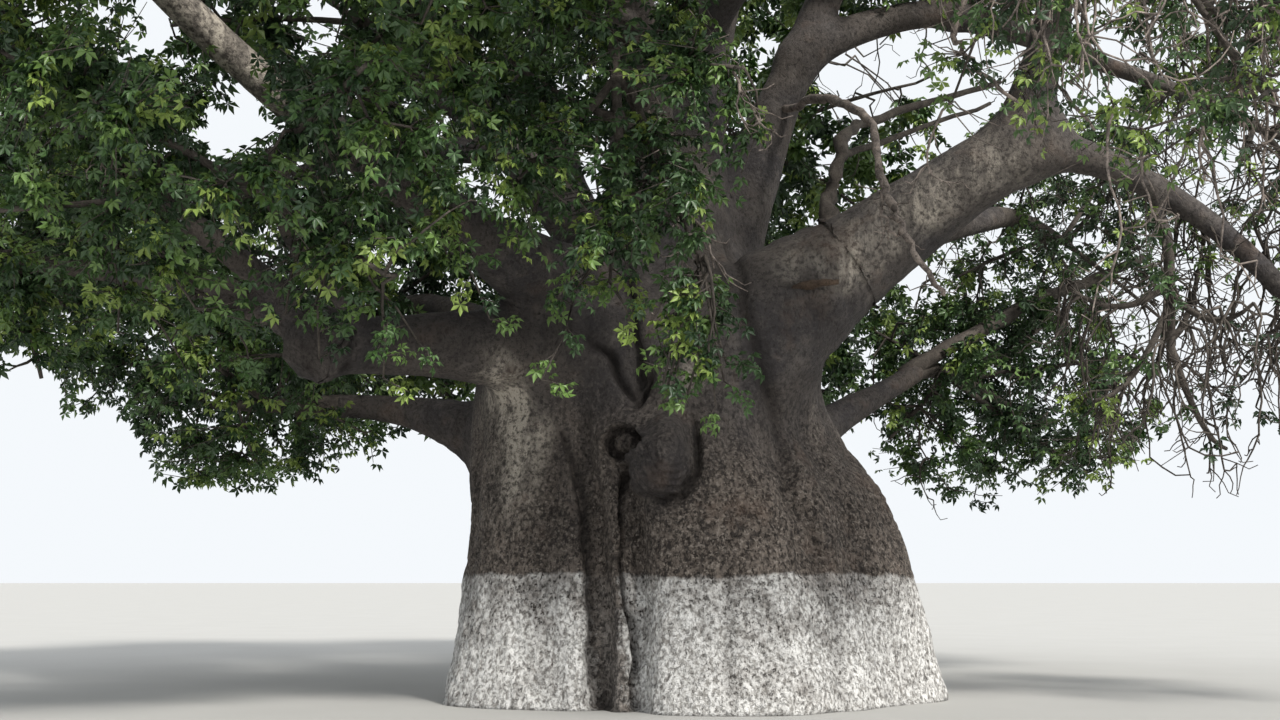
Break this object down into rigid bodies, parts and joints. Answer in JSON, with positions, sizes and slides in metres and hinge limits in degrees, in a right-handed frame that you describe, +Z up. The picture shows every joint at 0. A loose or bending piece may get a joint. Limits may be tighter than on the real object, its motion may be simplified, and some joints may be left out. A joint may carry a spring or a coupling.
{
  "type": "baobab tree",
  "caption": "Very old, wide baobab with a swollen, folded trunk, thick spreading boughs and a broad leafy crown.",
  "frame": {"origin": "middle of the flat cut at ground level under the trunk", "axes": "+Z up, -Y towards the side with the deep folds and the knot, +X to the right seen from that side"},
  "size_m": [23.6678, 22.5156, 15.1333],
  "materials": {
    "trunk_bark": "rough grey-brown bark, cracked and pitted, with a worn band of whitewash round the foot",
    "bough_bark": "smoother grey bark with folds, scars and small pits, matt",
    "foliage": "fresh green leaves in sprays, slightly glossy, on thin grey twigs"
  },
  "bodies": {
    "root": {"arch_fall": "bough_bark", "arch_rise": "bough_bark", "back_bough": "bough_bark", "back_left_riser": "bough_bark", "back_riser": "bough_bark", "centre_leader": "bough_bark", "foliage_of_arch_fall": "foliage", "foliage_of_back_bough": "foliage", "foliage_of_back_left_riser": "foliage", "foliage_of_back_riser": "foliage", "foliage_of_centre_leader": "foliage", "foliage_of_front_bough": "foliage", "foliage_of_front_left_fork": "foliage", "foliage_of_front_low_fork": "foliage", "foliage_of_front_right_bough": "foliage", "foliage_of_left_back_bough": "foliage", "foliage_of_left_far_bough": "foliage", "foliage_of_left_far_fork": "foliage", "foliage_of_left_fork": "foliage", "foliage_of_left_front_fork": "foliage", "foliage_of_left_high_bough": "foliage", "foliage_of_left_low_bough": "foliage", "foliage_of_left_riser": "foliage", "foliage_of_right_back_high_bough": "foliage", "foliage_of_right_back_low_bough": "foliage", "foliage_of_right_drop": "foliage", "foliage_of_right_hanger": "foliage", "foliage_of_right_riser": "foliage", "foliage_of_second_leader": "foliage", "foliage_of_top_front_fork": "foliage", "foliage_of_top_left_fork": "foliage", "front_bough": "bough_bark", "front_left_fork": "bough_bark", "front_low_fork": "bough_bark", "front_right_bough": "bough_bark", "left_back_bough": "bough_bark", "left_bough": "bough_bark", "left_far_bough": "bough_bark", "left_far_fork": "bough_bark", "left_fork": "bough_bark", "left_front_fork": "bough_bark", "left_high_bough": "bough_bark", "left_low_bough": "bough_bark", "left_riser": "bough_bark", "right_back_high_bough": "bough_bark", "right_back_low_bough": "bough_bark", "right_bough": "bough_bark", "right_drop": "bough_bark", "right_hanger": "bough_bark", "right_riser": "bough_bark", "second_leader": "bough_bark", "top_front_fork": "bough_bark", "top_left_fork": "bough_bark", "trunk": "trunk_bark"}
  },
  "joints": []
}
